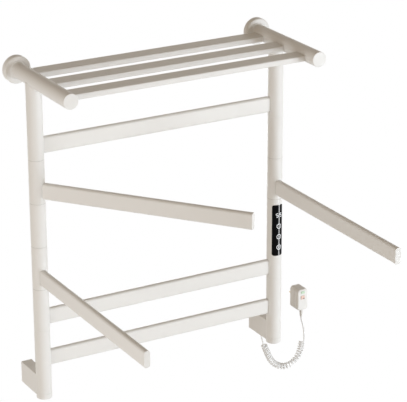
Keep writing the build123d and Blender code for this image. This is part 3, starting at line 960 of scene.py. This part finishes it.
@dataclass
class PlugDetails:
    """Moulded details of the plug and of both cord boots."""

    paint: Paintbox
    middle_x: float = 0.460
    size: Flat = (33.5 * MM, 62.0 * MM)
    corner: float = 9.0 * MM
    centre_z: float = -359.0 * MM
    seam_y: float = -43.0 * MM
    seam_bead: float = 0.22 * MM
    grip_rows: int = 8
    grip_step: float = -3.4 * MM
    grip_top: float = -349.0 * MM
    grip_run: Flat = (-43.5 * MM, -10.0 * MM)
    grip_radius: float = 0.75 * MM
    grip_sunk: float = 0.4 * MM
    boot: RibbedBoot = RibbedBoot(
        (0.460, -0.0525), (-392.4 * MM, -407.8 * MM), (4.62 * MM, 3.4 * MM), 6, 0.55 * MM
    )
    gland: RibbedBoot = RibbedBoot(
        (0.340, -0.042), (-438.2 * MM, -442.2 * MM), (5.45 * MM, 3.6 * MM), 3, 0.5 * MM
    )
    mark_place: Point = (0.4622, -0.0616, -0.35455)
    mark_size: Flat = (5.6 * MM, 2.3 * MM)
    mark_proud: float = 0.15 * MM
    mark_sunk: float = 0.5 * MM
    mark_top: float = 0.93
    mark_steps: int = 8

    def reset_mark(self) -> Object:
        """Dark bar with round ends on the lower button.

        Returns:
            The bar, which rides on the button.
        """
        sheet = bmesh.new()
        half, end = self.mark_size[0] / 2, self.mark_size[1] / 2
        centre = Vector(self.mark_place)
        outline = []
        for side in (1, -1):
            for step in range(self.mark_steps + 1):
                turn = math.radians(-90 * side + 180 * step / self.mark_steps)
                outline.append(((half - end) * side + end * math.cos(turn), end * math.sin(turn)))
        levels = ((self.mark_sunk, 1.0), (-self.mark_proud * 0.5, 1.0), (-self.mark_proud, self.mark_top))
        strip(
            sheet, [[centre + Vector((x * size, y, z * size)) for x, z in outline] for y, size in levels]
        )
        brown = self.paint[Finishes.MARK_BROWN]
        return join_sheet("reset_mark", sheet, brown, "reset_button")

    def build(self) -> list[Object]:
        """Make the ribs, the grips, the moulding seam and the button's mark.

        Returns:
            The pieces that sit on the cord's plug.
        """
        shell = self.paint[Finishes.PLUG_SHELL]
        sheath = self.paint[Finishes.CORD_SHEATH]
        ribs = rib_tree()
        boot, gland = self.boot.mesh(ribs, shell), self.gland.mesh(ribs, sheath)
        reach = self.size[0] / 2 - self.grip_sunk
        sides = [(self.middle_x + way * reach, self.grip_run[0], self.grip_top) for way in (-1, 1)]
        grips = grip_tree().mesh(
            sides, Count=self.grip_rows, Step=(0.0, 0.0, self.grip_step), Run=(0.0, self.grip_run[1], 0.0),
            Bar=self.grip_radius, Finish=shell,
        )
        seam = outline_tree().mesh(
            [(self.middle_x, self.seam_y, self.centre_z)], Width=self.size[0], Height=self.size[1],
            Corner=self.corner, Bead=self.seam_bead, Finish=self.paint[Finishes.PLUG_SEAM],
        )
        join_piece("gland_ribs", gland)
        return [
            join_piece("plug_boot_ribs", boot),
            join_piece("plug_grips", grips),
            join_piece("plug_seam", seam),
            self.reset_mark(),
        ]


@dataclass
class MainsCord:
    """The curly mains cord from the bracket's gland to the plug."""

    paint: Paintbox
    diameter: float = 4.2 * MM
    curl_diameter: float = 18.2 * MM
    curl_count: int = 27
    points_per_turn: int = 14
    entry_bend: float = 6.5 * MM
    entry_step: float = 20.0
    entry_points: int = 5
    first_heading: float = 240.0
    slack: float = 0.22
    slack_start: float = 0.12
    length: float = 1.314
    route_steps: int = 40
    wire_steps: int = 4
    round_steps: int = 4
    lower_route: Sequence[Point] = (
        (340, -42, -443), (340, -42, -449), (340.4, -45.5, -456), (342, -47.3, -462),
    )
    curl_route: Sequence[Point] = (
        (346.6, -42.3, -470.7), (352.5, -42.6, -487.3), (369.2, -44.2, -528.6), (392.4, -45.4, -547.4),
        (415.6, -46.6, -554), (435.6, -47.7, -548.2), (452, -48.8, -532.7), (461.8, -49.7, -511),
        (465.1, -50.6, -482.5),
    )
    upper_route: Sequence[Point] = (
        (468.4, -55.9, -472), (468.6, -55.4, -458), (465.8, -53.4, -436), (460.4, -52.5, -420),
        (460, -52.5, -410),
    )

    def spline(self, name: str, points: Iterable[Vector], resolution: int) -> Object:
        """One open smooth spline through the scene.

        Args:
            name: The curve object's name.
            points: Its control points, in metres.
            resolution: Steps between control points.

        Returns:
            The curve object, linked to the scene.
        """
        places = list(points)
        curve = bpy.data.curves.new(name, "CURVE")
        curve.dimensions = "3D"
        curve.resolution_u = resolution
        line = curve.splines.new("NURBS")
        line.points.add(len(places) - 1)
        for point, place in zip(line.points, places):
            point.co = (*place, 1.0)
        line.order_u = SPLINE_ORDER
        line.use_endpoint_u = True
        return add_object(name, curve)

    def route_line(self, route: Sequence[Point]) -> list[Vector]:
        """Points read along a route's smooth spline.

        Args:
            route: The route's control points, in millimetres.

        Returns:
            Points in metres, in order from the route's start.
        """
        mesh = bake(self.spline("route", (Vector(p) * MM for p in route), self.route_steps))
        line = [v.co.copy() for v in mesh.vertices]
        bpy.data.meshes.remove(mesh)
        return line

    def pace(self, length: float, round_one: float) -> list[Flat]:
        """Turns and distance along the line at each control point of the curls.

        Args:
            length: Length of the line that the curls wind about.
            round_one: Way round one curl.

        Returns:
            Turns and distances, in order from the line's start.
        """
        bends = [math.radians(self.entry_step * step) for step in range(self.entry_points)]
        entry = [
            (self.entry_bend * (1 - math.cos(bend)) / round_one, self.entry_bend * math.sin(bend))
            for bend in bends
        ]
        first, start = entry[-1]
        turns, run = self.curl_count - 2 * first, length - 2 * start
        steps = round(turns * self.points_per_turn)
        even = []
        for step in range(1, steps):
            share = step / steps
            lean, still = (math.sin(math.tau * v) for v in (share - self.slack_start, self.slack_start))
            along = share - self.slack * (lean + still) / math.tau
            even.append((first + turns * share, start + run * along))
        leaving = [(self.curl_count - turn, length - along) for turn, along in reversed(entry)]
        return [*entry, *even, *leaving]

    def curls(self, line: Sequence[Vector]) -> list[Vector]:
        """Helix about the sagging line, a little more open where it hangs lowest.

        Args:
            line: Points of the line that the curls wind about.

        Returns:
            Control points of the wire.
        """
        reach = [0.0]
        for before, after in zip(line, line[1:]):
            reach.append(reach[-1] + (after - before).length)
        # A quadratic spline runs inside its control points by this factor.
        pull_in = 0.75 + 0.25 * math.cos(math.tau / self.points_per_turn)
        swing = (self.curl_diameter - self.diameter) / 2
        depth = Vector((0, 1, 0))
        wire = []
        index = 0
        for turns, along in self.pace(reach[-1], math.tau * swing):
            while index < len(line) - 2 and reach[index + 1] < along:
                index += 1
            share = (along - reach[index]) / (reach[index + 1] - reach[index])
            place = line[index].lerp(line[index + 1], share)
            inward = (line[index + 1] - line[index]).normalized().cross(depth)
            angle = math.radians(self.first_heading) - math.tau * turns
            wire.append(place + (inward * math.cos(angle) + depth * math.sin(angle)) * (swing / pull_in))
        return wire

    def build(self, plug_pieces: Sequence[Object]) -> Object:
        """Args:
            plug_pieces: Further pieces that sit on the plug. Not used.

        Returns:
            The cord's curve object.
        """
        lower, upper = ([Vector(p) * MM for p in route] for route in (self.lower_route, self.upper_route))
        points = [*lower, *self.curls(self.route_line(self.curl_route)), *upper]
        cord = self.spline("mains_cord", points, self.wire_steps)
        cord.data.bevel_depth = self.diameter / 2
        cord.data.bevel_resolution = self.round_steps
        cord.data.use_fill_caps = True
        cord.data.materials.append(self.paint[Finishes.CORD_SHEATH])
        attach(cord, FRAME_BODY)
        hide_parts("cord_lead_lower", "cord_curls", "cord_lead_upper")
        plug = [
            frame["nodes"][name]
            for name in (
                "plug_strain_relief", "plug_body", "plug_pins", "plug_test_button", "plug_reset_button",
            )
        ]
        tuple(lower[0])
        LOG.info("piece mains_cord: %d points", len(points))
        return cord


@dataclass(frozen=True)
class SoftBox:
    """A rectangular lamp: where it hangs, what it faces, its size, its power in watts and its colour."""

    name: str
    place: Point
    aim: Point
    size: Flat
    power: float
    colour: Colour = WHITE

    def hang(self) -> Object:
        """Put the lamp into the scene.

        Returns:
            The lamp.
        """
        light = bpy.data.lights.new(self.name, "AREA")
        light.shape = "RECTANGLE"
        light.size, light.size_y = self.size
        light.energy = self.power
        light.color = self.colour
        lamp = add_object(self.name, light)
        facing = (Vector(self.aim) - Vector(self.place)).to_track_quat("-Z", "Y")
        lamp.matrix_world = Matrix.Translation(Vector(self.place)) @ facing.to_matrix().to_4x4()
        return lamp


@dataclass
class Studio:
    """Camera, soft light and pale floor."""

    target: Point = (0.11609, -0.122, 0.01361)
    azimuth: float = -29.32
    elevation: float = 20.54
    roll: float = -0.27
    distance: float = 5.1424
    focal_pixels: float = 2008.85
    image_width: float = 407.0
    sensor: float = 36.0
    floor_z: float = -3.0
    floor_reach: float = 12.0
    floor_colour: Colour = (0.8, 0.79, 0.77)
    floor_roughness: float = 0.9
    ambient: Colour = (0.57, 0.478, 0.375)
    overhead: Colour = (0.22, 0.175, 0.125)
    overhead_rise: Flat = (0.1, 0.8)
    soft_boxes: Sequence[SoftBox] = (
        SoftBox(
            "tall_key_softbox", (4.46, -5.11, -0.6), (0.2, -0.1, -0.1), (3.0, 4.6), 330.0, (0.82, 0.91, 1.0)
        ),
        SoftBox(
            "left_fill_softbox", (-2.2, -0.95, -0.2), (-0.1, -0.15, 0.0), (1.6, 1.5), 21.0, (0.93, 0.965, 1.0)
        ),
        SoftBox(
            "back_fill_softbox", (0.9, 3.25, -0.7), (0.0, -0.1, 0.0), (1.6, 1.0), 34.0, (0.86, 0.93, 1.0)
        ),
    )
    panel_strip: SoftBox = SoftBox(
        "panel_strip_light", (2.5, -2.2, -1.13), (0.34, -0.124, 0.0), (0.7, 0.8), 207.0
    )

    def camera(self) -> None:
        """Set the camera at the photograph's angle."""
        turn, lift, lean = (math.radians(v) for v in (self.azimuth, self.elevation, self.roll))
        back = Vector(
            (math.sin(turn) * math.cos(lift), -math.cos(turn) * math.cos(lift), math.sin(lift))
        )
        level = Vector((math.cos(turn), math.sin(turn), 0))
        rise = back.cross(level)
        right = level * math.cos(lean) + rise * math.sin(lean)
        up = rise * math.cos(lean) - level * math.sin(lean)
        lens = bpy.data.cameras.new("camera")
        lens.sensor_width = self.sensor
        lens.lens = self.focal_pixels * self.sensor / self.image_width
        camera = add_object("camera", lens)
        facing = Matrix((right, up, back)).transposed().to_4x4()
        camera.matrix_world = Matrix.Translation(Vector(self.target) + back * self.distance) @ facing
        bpy.context.scene.camera = camera

    def panel_glint(self) -> None:
        """Light that only the black panel takes up, as an upright reflection."""
        lit = bpy.data.collections.new("lit_by_panel_strip_light")
        lit.objects.link(frame["nodes"]["control_fascia"])
        self.panel_strip.hang().light_linking.receiver_collection = lit

    def seen(self, graph: Graph) -> NodeSocket:
        """Where the surroundings are seen, straight or in a reflection.

        Args:
            graph: The node tree under construction.

        Returns:
            Socket that is one where they are seen and zero where they only give light.
        """
        path = graph.add("ShaderNodeLightPath")
        direct = graph.math("MAXIMUM", path.outputs["Is Camera Ray"], path.outputs["Is Glossy Ray"])
        return graph.math("MAXIMUM", direct, path.outputs["Is Transmission Ray"])

    def world(self) -> None:
        """White surroundings that light the rack with a plain warm ambient, weaker from overhead."""
        world = bpy.data.worlds.new("surroundings")
        bpy.context.scene.world = world
        world.use_nodes = True
        graph = Graph(world.node_tree)
        background = world.node_tree.nodes["Background"]
        place = graph.add("ShaderNodeTexCoord").outputs["Generated"]
        way = graph.add("ShaderNodeSeparateXYZ", Vector=place)
        rise = graph.add(
            "ShaderNodeMapRange", {"interpolation_type": "SMOOTHSTEP"}, Value=way.outputs["Z"],
            From_Min=self.overhead_rise[0], From_Max=self.overhead_rise[1],
        )
        sky = graph.mix(rise.outputs[0], rgba(self.ambient), rgba(self.overhead))
        graph.feed(background.inputs["Color"], graph.mix(self.seen(graph), sky, rgba(WHITE)))
        graph.feed(background.inputs["Strength"], 1.0)

    def floor(self) -> None:
        """Pale floor well below the rack."""
        sheet = bmesh.new()
        bmesh.ops.create_grid(sheet, x_segments=1, y_segments=1, size=self.floor_reach)
        bmesh.ops.translate(sheet, verts=sheet.verts, vec=(0, 0, self.floor_z))
        mesh = bpy.data.meshes.new("floor")
        sheet.to_mesh(mesh)
        sheet.free()
        floor = add_object("floor", mesh)
        surface = Surface("pale_floor")
        surface.set("Base Color", rgba(self.floor_colour))
        surface.set("Roughness", self.floor_roughness)
        surface.set("Specular IOR Level", 0.0)
        glow = surface.add("ShaderNodeEmission", Color=rgba(WHITE), Strength=1.0)
        mixed = surface.add("ShaderNodeMixShader")
        for index, value in enumerate((self.seen(surface), surface.shader.outputs[0], glow.outputs[0])):
            surface.feed(mixed.inputs[index], value)
        surface.feed(surface.tree.nodes["Material Output"].inputs["Surface"], mixed.outputs[0])
        mesh.materials.append(surface.material)

    def build(self) -> None:
        """Set up the whole studio."""
        self.camera()
        self.world()
        self.floor()
        for box in self.soft_boxes:
            box.hang()
        self.panel_glint()
        bpy.context.scene.view_settings.view_transform = "Standard"


def main() -> None:
    """Build the studio, the rack and its details."""
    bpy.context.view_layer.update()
    paint = Paintbox()
    Studio().build()
    Rack(paint).dress()
    SaddleWelds(paint).build()
    KeySockets(paint).build()
    TouchPanel(paint).build()
    plug_pieces = PlugDetails(paint).build()
    MainsCord(paint).build(plug_pieces)
    bpy.context.view_layer.update()


if __name__ == "__main__":
    main()
